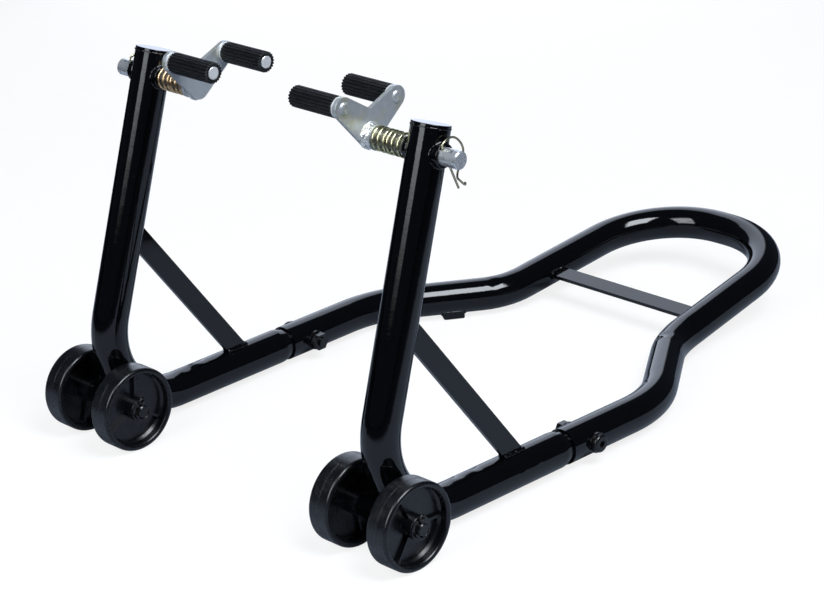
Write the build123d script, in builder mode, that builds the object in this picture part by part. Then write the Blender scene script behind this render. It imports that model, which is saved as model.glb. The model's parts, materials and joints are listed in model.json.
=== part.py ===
from build123d import *
from math import atan2, cos, degrees, radians, sin, tan
import os

# Rear paddock stand for a motorcycle, millimetres.
# +X is the right side, +Y points at the handle, +Z is up.
# The origin is on the floor, under the middle of the bounding box.

# Overall frame
overall_length = 773.0
tube_diameter = 35.0
tube_wall = 2.0
tube_radius = tube_diameter / 2
tube_bore_radius = tube_radius - tube_wall
wheel_diameter = 82.0
wheel_radius = wheel_diameter / 2
axle_y = wheel_radius - overall_length / 2

# Side tubes: an upright post and a level arm made by one bend
arm_height = 21.0
corner_x = 184.6
corner_behind_axle = -21.6
arm_toe_out_angle = 1.2
post_top_lean_in = 4.7
post_top_behind_axle = 83.3
post_top_height = 370.0
frame_bend_radius = 80.0

# Telescoping joint between arm and handle
joint_from_corner = 253.0
neck_length = 10.0
neck_lead = 3.0
neck_shoulder_radius = 16.0
spigot_length = 62.0
spigot_clearance = 0.05
spigot_radius = tube_bore_radius - spigot_clearance
joint_bolt_from_corner = 281.0
joint_bolt_hole_radius = 5.25

# Post cap and brace
cap_thickness = 3.0
cap_edge_radius = 0.6
brace_width = 20.0
brace_thickness = 5.0
brace_on_post = 196.5
brace_on_arm = 200.0
weld_radius = 2.6
brace_weld_length = 26.0

# Handle
handle_outer_bend_behind_axle = 364.0
handle_inner_bend_x = 112.2
handle_inner_bend_behind_axle = 483.6
handle_outer_bend_radius = 124.0
handle_inner_bend_radius = 96.0
handle_end_x = 97.4
handle_end_height = 53.4
handle_loop_radius = 97.0
cross_bar_behind_axle = 542.5
cross_bar_width = 20.0
cross_bar_thickness = 4.0
cross_bar_above_axis = 1.5

# Feet
foot_length = 23.0
foot_width = 24.0
foot_corner_radius = 2.5
foot_edge_radius = 1.2
foot_behind_axle = 434.0

# Wheels and axles
axle_center_x = 185.5
axle_radius = 6.0
axle_half_length = 53.5
axle_end_chamfer = 1.0
axle_boss_radius = 10.5
axle_boss_half_length = 19.0
wheel_offset = 35.5
wheel_width = 24.0
wheel_edge_radius = 3.0
wheel_rim_inner_radius = 35.0
wheel_web_thickness = 4.0
wheel_web_slope = 2.2
wheel_bore_clearance = 0.05
hub_radius = 11.0
hub_inner_end = 16.0
hub_outer_end = 13.0
hub_edge_radius = 1.0
rib_count = 3
rib_thickness = 2.2
rib_set_back = 6.5
hub_washer_radius = 11.2
hub_washer_thickness = 1.5
running_gap = 0.1

# Split pins
pin_wire_radius = 1.2
pin_from_center = 51.8
pin_eye_radius = 2.6
pin_eye_height = 10.6
pin_leg_wrap_radius = 7.7
pin_leg_wrap_angle = 78.0
pin_hole_radius = 1.5

# Joint fasteners
washer_outer_radius = 10.0
washer_inner_radius = 5.3
washer_thickness = 2.0
bolt_radius = 5.0
bolt_head_radius = 8.75
bolt_head_height = 5.2
bolt_head_dome = 2.6
bolt_socket_flats = 6.0
bolt_socket_depth = 3.4
bolt_end_past_nut = 2.5
nut_flats = 16.0
nut_height = 8.0
hexagon_sides = 6

# Spring loaded swivel cradles
shaft_height = 346.6
shaft_behind_axle = 76.2
shaft_radius = 8.0
shaft_end_x = 220.0
shaft_end_chamfer = 0.9
bushing_radius = 10.75
bushing_clearance = 0.05
bushing_inner_x = 160.5
bushing_outer_x = 201.4
bushing_edge_radius = 0.8
weld_clearance = 0.02
clip_hole_x = 202.5
spare_hole_x = 212.0
clip_hole_radius = 1.5
plate_outer_x = 113.0
plate_thickness = 4.0
plate_bottom_radius = 11.0
plate_peg_radius = 10.0
plate_notch_height = 22.6
plate_notch_radius = 1.0
cradle_tilt = 3.9
peg_distance = 42.7
peg_half_angle = 47.4
peg_radius = 6.0
peg_spigot_radius = 4.5
peg_rivet_radius = 5.8
peg_rivet_height = 1.8
peg_rivet_dome_radius = 4.6
dome_middle_share = 0.65
peg_punch_radius = 2.2
peg_punch_depth = 0.9
peg_collar_radius = 9.4
peg_collar_thickness = 2.5
peg_end_x = 53.5
peg_end_chamfer = 0.6
sleeve_core_radius = 8.6
sleeve_outer_radius = 9.8
sleeve_rib_count = 20
sleeve_rib_width = 1.5
cradle_weld_width = 8.5
cradle_weld_height = 4.6
spring_washer_thickness = 1.2
spring_washer_radius = 11.4
spring_wire_radius = 1.05
spring_mean_radius = 10.1
spring_turns = 6.0

# Retaining clip, drawn along its straight leg (u) and across it (v)
clip_wire_radius = 1.0
clip_lean_angle = 24.4
clip_leg_tip = 34.5
clip_leg_back = -10.5
clip_bow = [(-12.2, 9.0), (-3.0, 18.6), (8.0, 19.4), (16.8, 11.6), (21.6, 5.2)]
clip_waist = [(25.6, 3.0), (30.0, 4.4), (35.5, 8.6)]

# Points shared by several pieces
corner_y = axle_y + corner_behind_axle
shaft_y = axle_y + shaft_behind_axle
toe_slope = tan(radians(arm_toe_out_angle))
sides = {"right": 1, "left": -1}

# Angle of the first rib of each wheel at rest, by side and by end of the axle
rib_start_angles = {(1, 1): -4.0, (1, -1): 40.0, (-1, -1): 15.0, (-1, 1): 87.0}


def corner_point(side):
    return Vector(side * corner_x, corner_y, arm_height)


def arm_direction(side):
    return Vector(side * toe_slope, 1, 0).normalized()


def post_top_point(side):
    top_x = side * (corner_x - post_top_lean_in)
    return Vector(top_x, axle_y + post_top_behind_axle, post_top_height)


def post_direction(side):
    return (post_top_point(side) - corner_point(side)).normalized()


def side_plane(side, along_arm=0.0):
    # Plane through post and arm, x along the arm, y upwards.
    normal = arm_direction(side).cross(post_direction(side))
    origin = corner_point(side) + arm_direction(side) * along_arm
    return Plane(origin=origin, x_dir=arm_direction(side), z_dir=normal)


def bolt_plane(side):
    # Origin on the arm axis at the joint bolt, z pointing away from the stand.
    middle = side_plane(side, joint_bolt_from_corner)
    return Plane(origin=middle.origin, x_dir=middle.x_dir, z_dir=middle.z_dir * side)


def crosswise_plane(x, y, z):
    # Plane at right angles to X, local x along +Y and local y along +Z.
    return Plane(origin=(x, y, z), x_dir=(0, 1, 0), z_dir=(1, 0, 0))


def lengthwise_plane(y, z):
    # Upright plane through a line parallel to X, local x along +X, local y up.
    return Plane(origin=(0, y, z), x_dir=(1, 0, 0), z_dir=(0, -1, 0))


def bend_points(before, corner, after, radius):
    to_before = (before - corner).normalized()
    to_after = (after - corner).normalized()
    half_angle = radians(to_before.get_angle(to_after) / 2)
    tangent_length = radius / tan(half_angle)
    bisector = (to_before + to_after).normalized()
    arc_start = corner + to_before * tangent_length
    arc_middle = corner + bisector * (radius / sin(half_angle) - radius)
    arc_end = corner + to_after * tangent_length
    return arc_start, arc_middle, arc_end


def draw_bent_path(points, bend_radii):
    # Straight lines through the points with a tangent arc at every inner point.
    cursor = points[0]
    for index, radius in enumerate(bend_radii, start=1):
        arc_start, arc_middle, arc_end = bend_points(
            points[index - 1], points[index], points[index + 1], radius
        )
        Line(cursor, arc_start)
        ThreePointArc(arc_start, arc_middle, arc_end)
        cursor = arc_end
    Line(cursor, points[-1])


def side_path_points(side):
    cap_seat = post_top_point(side) - post_direction(side) * cap_thickness
    arm_length = joint_from_corner - neck_length - neck_lead
    arm_end = corner_point(side) + arm_direction(side) * arm_length
    return [cap_seat, corner_point(side), arm_end]


def handle_path_points():
    right_joint = corner_point(1) + arm_direction(1) * joint_from_corner
    outer_bend_y = axle_y + handle_outer_bend_behind_axle
    outer_bend_x = corner_x + (outer_bend_y - corner_y) * toe_slope
    outer_bend = Vector(outer_bend_x, outer_bend_y, arm_height)
    inner_bend_y = axle_y + handle_inner_bend_behind_axle
    inner_bend = Vector(handle_inner_bend_x, inner_bend_y, arm_height)
    loop_y = overall_length / 2 - tube_radius
    loop_corner = Vector(handle_end_x, loop_y, handle_end_height)
    right_half = [right_joint, outer_bend, inner_bend, loop_corner]
    left_half = [Vector(-point.X, point.Y, point.Z) for point in reversed(right_half)]
    return right_half + left_half


handle_bend_radii = [
    handle_outer_bend_radius,
    handle_inner_bend_radius,
    handle_loop_radius,
    handle_loop_radius,
    handle_inner_bend_radius,
    handle_outer_bend_radius,
]


def make_rod(points, bend_radii, outer_radius, inner_radius):
    with BuildPart() as rod:
        with BuildLine() as path:
            draw_bent_path(points, bend_radii)
        with BuildSketch(Plane(origin=path.line @ 0, z_dir=path.line % 0)):
            Circle(outer_radius)
            if inner_radius > 0:
                Circle(inner_radius, mode=Mode.SUBTRACT)
        sweep()
    return rod.part


def side_envelope(side):
    return make_rod(side_path_points(side), [frame_bend_radius], tube_radius, 0)


handle_envelope = make_rod(handle_path_points(), handle_bend_radii, tube_radius, 0)
side_envelopes = {side: side_envelope(side) for side in sides.values()}


def make_side_tube(side):
    shell = make_rod(side_path_points(side), [frame_bend_radius], tube_radius, tube_bore_radius)
    neck_start = joint_from_corner - neck_length
    spigot_bore_radius = spigot_radius - tube_wall
    spigot_end = neck_length + spigot_length
    arm_axis = Axis(side_plane(side).origin, side_plane(side).x_dir)
    with BuildPart() as tube:
        add(shell)
        with BuildSketch(side_plane(side, neck_start)):
            with BuildLine():
                FilletPolyline(
                    (-neck_lead, tube_radius),
                    (0, tube_radius),
                    (neck_length, spigot_radius),
                    radius=neck_shoulder_radius,
                )
                Polyline(
                    (neck_length, spigot_radius),
                    (spigot_end, spigot_radius),
                    (spigot_end, spigot_bore_radius),
                    (neck_length, spigot_bore_radius),
                    (0, tube_bore_radius),
                    (-neck_lead, tube_bore_radius),
                    (-neck_lead, tube_radius),
                )
            make_face()
        revolve(axis=arm_axis)
        with BuildSketch(crosswise_plane(side * corner_x, shaft_y, shaft_height)):
            Circle(bushing_radius + weld_clearance)
        extrude(amount=tube_diameter, both=True, mode=Mode.SUBTRACT)
        with BuildSketch(bolt_plane(side)):
            Circle(joint_bolt_hole_radius)
        extrude(amount=tube_diameter, both=True, mode=Mode.SUBTRACT)
    return tube.part


def make_post_cap(side):
    cap_axis = post_direction(side)
    seat = post_top_point(side) - cap_axis * cap_thickness
    with BuildPart() as cap:
        with BuildSketch(Plane(origin=seat, z_dir=cap_axis)):
            Circle(tube_radius)
        extrude(amount=cap_thickness)
        top_face = cap.faces().sort_by(Axis(seat, cap_axis))[-1]
        fillet(top_face.edges(), radius=cap_edge_radius)
    return cap.part


def make_adapter_bushing(side):
    between_radii = (shaft_radius + bushing_radius) / 2
    with BuildPart() as bushing:
        with BuildSketch(crosswise_plane(side * bushing_inner_x, shaft_y, shaft_height)):
            Circle(bushing_radius)
            Circle(shaft_radius + bushing_clearance, mode=Mode.SUBTRACT)
        extrude(amount=side * (bushing_outer_x - bushing_inner_x))
        rims = bushing.edges().filter_by(GeomType.CIRCLE)
        outer_rims = rims.filter_by(lambda edge: edge.radius > between_radii)
        fillet(outer_rims, radius=bushing_edge_radius)
    return bushing.part


def slope_of(direction):
    return degrees(atan2(direction.Y, direction.X))


def post_in_side_plane(side):
    angle = radians(arm_direction(side).get_angle(post_direction(side)))
    return Vector(cos(angle), sin(angle))


def brace_ends(side):
    # End points of the brace centre line in the side plane.
    return post_in_side_plane(side) * brace_on_post, Vector(brace_on_arm, 0)


def make_brace(side):
    on_post, on_arm = brace_ends(side)
    middle = (on_post + on_arm) * 0.5
    span = on_arm - on_post
    slope = slope_of(span)
    with BuildPart() as brace:
        with BuildSketch(side_plane(side)):
            with Locations((middle.X, middle.Y)):
                Rectangle(span.length, brace_width, rotation=slope)
        extrude(amount=brace_thickness / 2, both=True)
        add(side_envelopes[side], mode=Mode.SUBTRACT)
    return brace.part.solids().sort_by(SortBy.VOLUME)[-1]


def leg_point_at(y):
    # Point on the right handle leg between the inner bend and the loop.
    points = handle_path_points()
    inner_bend, loop_corner = points[2], points[3]
    share = (y - inner_bend.Y) / (loop_corner.Y - inner_bend.Y)
    return inner_bend + (loop_corner - inner_bend) * share


def make_handle_tube():
    shell = make_rod(handle_path_points(), handle_bend_radii, tube_radius, tube_bore_radius)
    with BuildPart() as handle:
        add(shell)
        for side in sides.values():
            with BuildSketch(bolt_plane(side)):
                Circle(joint_bolt_hole_radius)
            extrude(amount=tube_diameter, both=True, mode=Mode.SUBTRACT)
    return handle.part


def cross_bar_plane():
    points = handle_path_points()
    leg_direction = points[3] - points[2]
    bar_slope = Vector(0, leg_direction.Y, leg_direction.Z).normalized()
    bar_y = axle_y + cross_bar_behind_axle
    bar_center = leg_point_at(bar_y)
    origin = (0, bar_y, bar_center.Z + cross_bar_above_axis)
    return Plane(origin=origin, x_dir=(1, 0, 0), z_dir=Vector(1, 0, 0).cross(bar_slope))


def make_cross_bar():
    leg_x = leg_point_at(axle_y + cross_bar_behind_axle).X
    with BuildPart() as bar:
        with BuildSketch(cross_bar_plane()):
            Rectangle(2 * leg_x, cross_bar_width)
        extrude(amount=cross_bar_thickness / 2, both=True)
        add(handle_envelope, mode=Mode.SUBTRACT)
    return bar.part.solids().sort_by(SortBy.VOLUME)[-1]


def foot_center(side):
    points = handle_path_points()
    outer_bend, inner_bend = points[1], points[2]
    foot_y = axle_y + foot_behind_axle
    share = (foot_y - outer_bend.Y) / (inner_bend.Y - outer_bend.Y)
    foot_x = outer_bend.X + (inner_bend.X - outer_bend.X) * share
    return side * foot_x, foot_y


def make_foot(side):
    # Block lined up with the leg, its top cut to the tube.
    foot_x, foot_y = foot_center(side)
    points = handle_path_points()
    leg = points[2] - points[1]
    leg_direction = Vector(side * leg.X, leg.Y, 0)
    with BuildPart() as foot:
        with BuildSketch(Plane(origin=(foot_x, foot_y, 0), x_dir=leg_direction)):
            RectangleRounded(foot_length, foot_width, foot_corner_radius)
        extrude(amount=arm_height)
        bottom_edges = foot.faces().sort_by(Axis.Z)[0].edges()
        fillet(bottom_edges, radius=foot_edge_radius)
        add(handle_envelope, mode=Mode.SUBTRACT)
    return foot.part.solids().sort_by(SortBy.VOLUME)[-1]


def make_axle_boss(side):
    # Short tube welded behind the bend, which carries the axle.
    with BuildPart() as boss:
        with BuildSketch(crosswise_plane(side * axle_center_x, axle_y, wheel_radius)):
            Circle(axle_boss_radius)
            Circle(axle_radius + weld_clearance, mode=Mode.SUBTRACT)
        extrude(amount=axle_boss_half_length, both=True)
        add(side_envelopes[side], mode=Mode.SUBTRACT)
    return boss.part


def make_axle(side):
    center_x = side * axle_center_x
    with BuildPart() as axle:
        with BuildSketch(crosswise_plane(center_x, axle_y, wheel_radius)):
            Circle(axle_radius)
        extrude(amount=axle_half_length, both=True)
        end_edges = axle.edges().filter_by(GeomType.CIRCLE)
        chamfer(end_edges, length=axle_end_chamfer)
        for end in (1, -1):
            hole_x = center_x + end * pin_from_center
            with BuildSketch(Plane(origin=(hole_x, axle_y, wheel_radius))):
                Circle(pin_hole_radius)
            extrude(amount=axle_radius * 2, both=True, mode=Mode.SUBTRACT)
    return axle.part


def make_wheel(side, outward):
    # outward is +1 when the wheel sits on the +X end of its axle.
    center_x = side * axle_center_x + outward * wheel_offset
    half_width = wheel_width / 2
    half_web = wheel_web_thickness / 2
    bore = axle_radius + wheel_bore_clearance
    tube_end = -outward * hub_inner_end
    pin_end = outward * hub_outer_end
    low_end, high_end = sorted((tube_end, pin_end))
    slope_start_radius = wheel_rim_inner_radius - wheel_web_slope
    rib_height = wheel_rim_inner_radius - hub_radius
    rib_middle_radius = (wheel_rim_inner_radius + hub_radius) / 2
    start_angle = rib_start_angles[(side, outward)]
    profile_plane = lengthwise_plane(axle_y, wheel_radius)
    with BuildPart() as wheel:
        with BuildSketch(profile_plane) as rim_profile:
            with Locations((center_x, (wheel_radius + wheel_rim_inner_radius) / 2)):
                Rectangle(wheel_width, wheel_radius - wheel_rim_inner_radius)
            tread_corners = rim_profile.vertices().group_by(Axis.Z)[-1]
            fillet(tread_corners, radius=wheel_edge_radius)
        revolve(axis=Axis((0, axle_y, wheel_radius), (1, 0, 0)))
        with BuildSketch(profile_plane):
            Polygon(
                (center_x + low_end, bore),
                (center_x + high_end, bore),
                (center_x + high_end, hub_radius),
                (center_x + half_web, hub_radius),
                (center_x + half_web, slope_start_radius),
                (center_x + half_web + wheel_web_slope, wheel_rim_inner_radius),
                (center_x - half_web - wheel_web_slope, wheel_rim_inner_radius),
                (center_x - half_web, slope_start_radius),
                (center_x - half_web, hub_radius),
                (center_x + low_end, hub_radius),
                align=None,
            )
        revolve(axis=Axis((0, axle_y, wheel_radius), (1, 0, 0)))
        with BuildSketch(crosswise_plane(center_x, axle_y, wheel_radius)):
            with PolarLocations(rib_middle_radius, rib_count, start_angle=start_angle):
                Rectangle(rib_height + rib_thickness, rib_thickness)
            Circle(hub_radius - rib_thickness, mode=Mode.SUBTRACT)
        extrude(amount=half_width - rib_set_back, both=True)
        hub_rims = wheel.edges().filter_by(GeomType.CIRCLE)
        hub_rims = hub_rims.filter_by(lambda edge: abs(edge.radius - hub_radius) < running_gap)
        end_rim = hub_rims.sort_by(Axis.X)[-1 if outward > 0 else 0]
        fillet(end_rim, radius=hub_edge_radius)
    return wheel.part


def axle_end_positions():
    return [
        (side * axle_center_x, end)
        for side in sides.values()
        for end in (1, -1)
    ]


def make_hub_washers():
    seat = wheel_offset + hub_outer_end + running_gap
    with BuildPart() as washers:
        for center_x, end in axle_end_positions():
            with BuildSketch(crosswise_plane(center_x + end * seat, axle_y, wheel_radius)):
                Circle(hub_washer_radius)
                Circle(axle_radius + wheel_bore_clearance, mode=Mode.SUBTRACT)
            extrude(amount=end * hub_washer_thickness)
    return washers.part


def make_split_pins():
    eye_z = wheel_radius + pin_eye_height
    with BuildPart() as pins:
        for center_x, end in axle_end_positions():
            pin_x = center_x + end * pin_from_center
            shank_top = eye_z - pin_eye_radius
            shank_bottom = wheel_radius - pin_leg_wrap_radius
            with BuildSketch(Plane(origin=(pin_x, axle_y, shank_bottom))):
                Circle(pin_wire_radius)
            extrude(amount=shank_top - shank_bottom)
            with BuildSketch(lengthwise_plane(axle_y, eye_z)):
                with Locations((pin_x, pin_eye_radius)):
                    Circle(pin_wire_radius)
            revolve(axis=Axis((pin_x, axle_y, eye_z), (1, 0, 0)))
            with BuildSketch(lengthwise_plane(axle_y, wheel_radius)):
                with Locations((pin_x, -pin_leg_wrap_radius)):
                    Circle(pin_wire_radius)
            wrap_axis = Axis((pin_x, axle_y, wheel_radius), (1, 0, 0))
            revolve(axis=wrap_axis, revolution_arc=pin_leg_wrap_angle)
            with BuildSketch(lengthwise_plane(axle_y, wheel_radius)):
                with Locations((pin_x, -pin_leg_wrap_radius)):
                    Circle(pin_wire_radius)
            revolve(axis=wrap_axis, revolution_arc=-pin_leg_wrap_angle)
    return pins.part


def make_joint_bolts():
    head_seat = tube_radius + washer_thickness
    nut_end = tube_radius + washer_thickness + nut_height
    shank_length = head_seat + nut_end + bolt_end_past_nut
    with BuildPart() as bolts:
        for side in sides.values():
            with BuildSketch(bolt_plane(side).offset(head_seat)):
                Circle(bolt_head_radius)
            extrude(amount=bolt_head_height)
            bolt_axis = Axis(bolt_plane(side).origin, bolt_plane(side).z_dir)
            head_face = bolts.faces().sort_by(bolt_axis)[-1]
            head_rim = head_face.edges().filter_by(GeomType.CIRCLE)
            fillet(head_rim, radius=bolt_head_dome)
            with BuildSketch(bolt_plane(side).offset(head_seat + bolt_head_height)):
                RegularPolygon(bolt_socket_flats / 2, hexagon_sides, major_radius=False)
            extrude(amount=-bolt_socket_depth, mode=Mode.SUBTRACT)
            with BuildSketch(bolt_plane(side).offset(head_seat)):
                Circle(bolt_radius)
            extrude(amount=-shank_length)
    return bolts.part


def make_joint_washers():
    with BuildPart() as washers:
        for side in sides.values():
            for face in (1, -1):
                with BuildSketch(bolt_plane(side).offset(face * tube_radius)):
                    Circle(washer_outer_radius)
                    Circle(washer_inner_radius, mode=Mode.SUBTRACT)
                extrude(amount=face * washer_thickness)
    return washers.part


def make_joint_nuts():
    nut_seat = -tube_radius - washer_thickness
    with BuildPart() as nuts:
        for side in sides.values():
            with BuildSketch(bolt_plane(side).offset(nut_seat)):
                RegularPolygon(nut_flats / 2, hexagon_sides, major_radius=False)
                Circle(bolt_radius, mode=Mode.SUBTRACT)
            extrude(amount=-nut_height)
    return nuts.part


def cradle_axis(side):
    return Axis((side * plate_outer_x, shaft_y, shaft_height), (side, 0, 0))


def peg_positions():
    # Offsets of the two pegs from the shaft axis: forward one first.
    offsets = []
    for turn in (-peg_half_angle, peg_half_angle):
        angle = radians(turn + cradle_tilt)
        offsets.append((peg_distance * sin(angle), peg_distance * cos(angle)))
    return offsets


def make_cradle_plate(side):
    tilt = radians(cradle_tilt)
    notch = (plate_notch_height * sin(tilt), plate_notch_height * cos(tilt))
    face_plane = crosswise_plane(side * plate_outer_x, shaft_y, shaft_height)
    with BuildPart() as plate:
        for peg in peg_positions():
            with BuildSketch(face_plane):
                Circle(plate_bottom_radius)
                with Locations(peg):
                    Circle(plate_peg_radius)
                with Locations(notch):
                    Circle(plate_notch_radius)
                make_hull()
            extrude(amount=-side * plate_thickness)
        with BuildSketch(face_plane):
            with Locations(*peg_positions()):
                Circle(peg_spigot_radius)
        extrude(amount=-side * plate_thickness, mode=Mode.SUBTRACT)
    return plate.part


def make_adapter_shaft(side):
    hole_tilt = radians(clip_lean_angle)
    hole_direction = Vector(0, sin(hole_tilt), -cos(hole_tilt))
    with BuildPart() as shaft:
        with BuildSketch(crosswise_plane(side * plate_outer_x, shaft_y, shaft_height)):
            Circle(shaft_radius)
        extrude(amount=side * (shaft_end_x - plate_outer_x))
        free_end = shaft.faces().sort_by(cradle_axis(side))[-1]
        chamfer(free_end.edges(), length=shaft_end_chamfer)
        for hole_x in (clip_hole_x, spare_hole_x):
            hole_origin = (side * hole_x, shaft_y, shaft_height)
            with BuildSketch(Plane(origin=hole_origin, z_dir=hole_direction)):
                Circle(clip_hole_radius)
            extrude(amount=shaft_radius * 2, both=True, mode=Mode.SUBTRACT)
    return shaft.part


def make_peg(side, offset):
    rivet_x = plate_outer_x + peg_rivet_height
    collar_x = plate_outer_x - plate_thickness
    rod_x = collar_x - peg_collar_thickness
    peg_y = shaft_y + offset[0]
    peg_z = shaft_height + offset[1]
    dome_middle_x = plate_outer_x + peg_rivet_height * dome_middle_share
    with BuildPart() as peg:
        with BuildSketch(lengthwise_plane(peg_y, peg_z)):
            with BuildLine():
                body = Polyline(
                    (side * (rivet_x - peg_punch_depth), 0),
                    (side * peg_end_x, 0),
                    (side * peg_end_x, peg_radius - peg_end_chamfer),
                    (side * (peg_end_x + peg_end_chamfer), peg_radius),
                    (side * rod_x, peg_radius),
                    (side * rod_x, peg_collar_radius),
                    (side * collar_x, peg_collar_radius),
                    (side * collar_x, peg_spigot_radius),
                    (side * plate_outer_x, peg_spigot_radius),
                    (side * plate_outer_x, peg_rivet_radius),
                )
                dome = ThreePointArc(
                    body @ 1,
                    (side * dome_middle_x, peg_rivet_dome_radius),
                    (side * rivet_x, peg_punch_radius),
                )
                Line(dome @ 1, body @ 0)
            make_face()
        revolve(axis=Axis((0, peg_y, peg_z), (1, 0, 0)))
    return peg.part


def make_sleeve(side, offset):
    base_x = plate_outer_x - plate_thickness - peg_collar_thickness
    peg_y = shaft_y + offset[0]
    peg_z = shaft_height + offset[1]
    rib_length = 2 * (sleeve_outer_radius - sleeve_core_radius)
    rib_center_radius = sleeve_outer_radius - rib_length / 2
    with BuildPart() as sleeve:
        with BuildSketch(crosswise_plane(side * base_x, peg_y, peg_z)):
            Circle(sleeve_core_radius)
            with PolarLocations(rib_center_radius, sleeve_rib_count):
                Rectangle(rib_length, sleeve_rib_width)
            Circle(peg_radius, mode=Mode.SUBTRACT)
        extrude(amount=-side * (base_x - peg_end_x))
    return sleeve.part


def make_cradle_weld(side):
    # Fillet bead round the shaft where it meets the plate.
    with BuildPart() as weld:
        with BuildSketch(lengthwise_plane(shaft_y, shaft_height)):
            Polygon(
                (side * plate_outer_x, shaft_radius),
                (side * (plate_outer_x + cradle_weld_width), shaft_radius),
                (side * plate_outer_x, shaft_radius + cradle_weld_height),
                align=None,
            )
        revolve(axis=Axis((0, shaft_y, shaft_height), (1, 0, 0)))
    return weld.part


def spring_washer_x():
    return plate_outer_x + cradle_weld_width + running_gap


def make_spring_washer(side):
    with BuildPart() as washer:
        with BuildSketch(crosswise_plane(side * spring_washer_x(), shaft_y, shaft_height)):
            Circle(spring_washer_radius)
            Circle(shaft_radius + bushing_clearance, mode=Mode.SUBTRACT)
        extrude(amount=side * spring_washer_thickness)
    return washer.part


def make_spring(side):
    first_x = spring_washer_x() + spring_washer_thickness + spring_wire_radius
    last_x = bushing_inner_x - spring_wire_radius
    coil_height = last_x - first_x
    start = (side * first_x, shaft_y, shaft_height)
    with BuildPart() as spring:
        with BuildLine() as coil:
            Helix(
                pitch=coil_height / spring_turns,
                height=coil_height,
                radius=spring_mean_radius,
                center=start,
                direction=(side, 0, 0),
            )
        with BuildSketch(Plane(origin=coil.line @ 0, z_dir=coil.line % 0)):
            Circle(spring_wire_radius)
        sweep(is_frenet=True)
    return spring.part


def make_retaining_clip(side):
    lean = radians(clip_lean_angle)
    leg_direction = Vector(0, sin(lean), -cos(lean))
    across = Vector(0, cos(lean), sin(lean))
    clip_plane = Plane(
        origin=(side * clip_hole_x, shaft_y, shaft_height),
        x_dir=leg_direction,
        z_dir=leg_direction.cross(across),
    )
    with BuildPart() as clip:
        with BuildLine(clip_plane) as wire:
            leg = Line((clip_leg_tip, 0), (clip_leg_back, 0))
            Spline(
                leg @ 1,
                *clip_bow,
                *clip_waist,
                tangents=((-1, 0), (1, 1)),
            )
        with BuildSketch(Plane(origin=wire.line @ 0, z_dir=wire.line % 0)):
            Circle(clip_wire_radius)
        sweep()
    return clip.part


def brace_touch_points(side):
    # Where the brace centre line meets the skin of the post and of the arm.
    on_post, on_arm = brace_ends(side)
    down = (on_arm - on_post).normalized()
    post_axis = post_in_side_plane(side)
    post_normal = Vector(post_axis.Y, -post_axis.X)
    post_touch = on_post + down * (tube_radius / down.dot(post_normal))
    arm_touch = on_arm - down * (tube_radius / abs(down.Y))
    return [(post_touch, post_axis), (arm_touch, Vector(1, 0))]


def make_brace_welds(side):
    # Beads along both faces of the brace, on the post and on the arm.
    with BuildPart() as welds:
        for touch, tube_axis in brace_touch_points(side):
            for face in (1, -1):
                face_plane = side_plane(side).offset(face * brace_thickness / 2)
                middle = face_plane.from_local_coords((touch.X, touch.Y, 0))
                along = face_plane.x_dir * tube_axis.X + face_plane.y_dir * tube_axis.Y
                start = middle - along * (brace_weld_length / 2)
                with BuildSketch(Plane(origin=start, z_dir=along)):
                    Circle(weld_radius)
                extrude(amount=brace_weld_length)
        add(side_envelopes[side], mode=Mode.SUBTRACT)
        add(braces[side], mode=Mode.SUBTRACT)
    return welds.part


def make_cross_bar_welds():
    bar_y = axle_y + cross_bar_behind_axle
    leg = leg_point_at(bar_y)
    bead_x = leg.X - tube_radius
    top = cross_bar_plane().offset(cross_bar_thickness / 2)
    bottom = cross_bar_plane().offset(-cross_bar_thickness / 2)
    with BuildPart() as welds:
        for face in (top, bottom):
            for side in sides.values():
                center = face.from_local_coords((side * bead_x, 0, 0))
                start = center - face.y_dir * (cross_bar_width / 2)
                with BuildSketch(Plane(origin=start, z_dir=face.y_dir)):
                    Circle(weld_radius)
                extrude(amount=cross_bar_width)
        add(handle_envelope, mode=Mode.SUBTRACT)
        add(cross_bar, mode=Mode.SUBTRACT)
    return welds.part


def save(part, name):
    part.label = name
    export_step(part, os.path.join("parts", name + ".step"))


os.makedirs("parts", exist_ok=True)

braces = {side: make_brace(side) for side in sides.values()}
cross_bar = make_cross_bar()

for side_name, side in sides.items():
    save(make_side_tube(side), "side_tube_" + side_name)
    save(make_post_cap(side), "post_cap_" + side_name)
    save(make_adapter_bushing(side), "adapter_bushing_" + side_name)
    save(braces[side], "brace_" + side_name)
    save(make_brace_welds(side), "brace_welds_" + side_name)
    save(make_foot(side), "foot_" + side_name)
    save(make_axle_boss(side), "axle_boss_" + side_name)
    save(make_axle(side), "axle_" + side_name)
    save(make_wheel(side, side), "wheel_" + side_name + "_outer")
    save(make_wheel(side, -side), "wheel_" + side_name + "_inner")
    save(make_adapter_shaft(side), "adapter_shaft_" + side_name)
    save(make_cradle_plate(side), "cradle_plate_" + side_name)
    save(make_cradle_weld(side), "cradle_weld_" + side_name)
    save(make_spring_washer(side), "spring_washer_" + side_name)
    save(make_spring(side), "spring_" + side_name)
    save(make_retaining_clip(side), "retaining_clip_" + side_name)
    for place, peg_offset in zip(("front", "rear"), peg_positions()):
        save(make_peg(side, peg_offset), "peg_" + side_name + "_" + place)
        save(make_sleeve(side, peg_offset), "sleeve_" + side_name + "_" + place)

save(make_handle_tube(), "handle_tube")
save(cross_bar, "cross_bar")
save(make_cross_bar_welds(), "cross_bar_welds")
save(make_hub_washers(), "hub_washers")
save(make_split_pins(), "split_pins")
save(make_joint_bolts(), "joint_bolts")
save(make_joint_washers(), "joint_washers")
save(make_joint_nuts(), "joint_nuts")
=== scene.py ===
import json
import math

import bpy
from mathutils import Matrix, Vector, noise
from mathutils.bvhtree import BVHTree

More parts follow.
